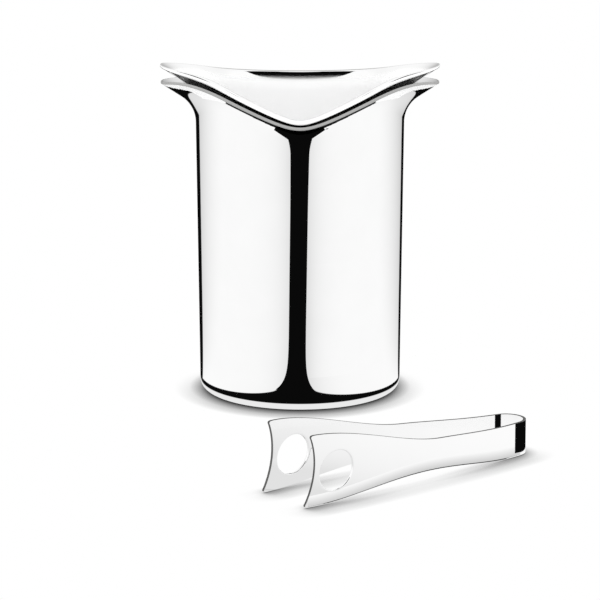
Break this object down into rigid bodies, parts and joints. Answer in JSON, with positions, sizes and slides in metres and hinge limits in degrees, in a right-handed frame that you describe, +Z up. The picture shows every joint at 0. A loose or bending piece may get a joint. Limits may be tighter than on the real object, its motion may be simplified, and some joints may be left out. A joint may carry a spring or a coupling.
{
  "type": "ice bucket",
  "caption": "Polished round ice bucket with a flared, V-fronted rim drawn out to winged sides, a matching lift-out liner and a sprung pair of strip tongs.",
  "frame": {"origin": "centre of the bucket's flat base, on the surface it stands on", "axes": "+Z up the bucket's axis, front of the bucket (the V in the rim) towards -Y, winged rim corners along +X and -X"},
  "size_m": [0.1822, 0.2782, 0.1704],
  "materials": {
    "polished": "mirror polished silver-coloured metal",
    "satin": "satin inside, polished lip"
  },
  "bodies": {
    "bucket": {"bucket": "polished"},
    "liner": {"liner": "satin"},
    "tongs": {"tongs_bow": "polished"},
    "tongs_front_arm": {"tongs_arm_front": "polished"},
    "tongs_back_arm": {"tongs_arm_back": "polished"}
  },
  "joints": [
    {"name": "liner_lift", "type": "slide", "parent": "bucket", "child": "liner", "axis": [0, 0, 1], "range_m": [0, 0.17]},
    {"name": "tongs_lift", "type": "slide", "parent": "bucket", "child": "tongs", "axis": [0, 0, 1], "range_m": [0, 0.1]},
    {"name": "tongs_squeeze", "type": "hinge", "parent": "tongs", "child": "tongs_back_arm", "pos_m": [0.09698, -0.11828, 0.0087], "axis": [0, 0, 1], "range_deg": [0, 5.5], "stiffness_Nm_per_rad": 10},
    {"name": "tongs_front_flex", "type": "hinge", "parent": "tongs", "child": "tongs_front_arm", "pos_m": [0.10735, -0.13194, 0.0087], "axis": [0, 0, -1], "range_deg": [0, 5.5], "stiffness_Nm_per_rad": 10}
  ],
  "couplings": [
    {"joint": "tongs_front_flex", "follows": "tongs_squeeze", "ratio": 1}
  ]
}
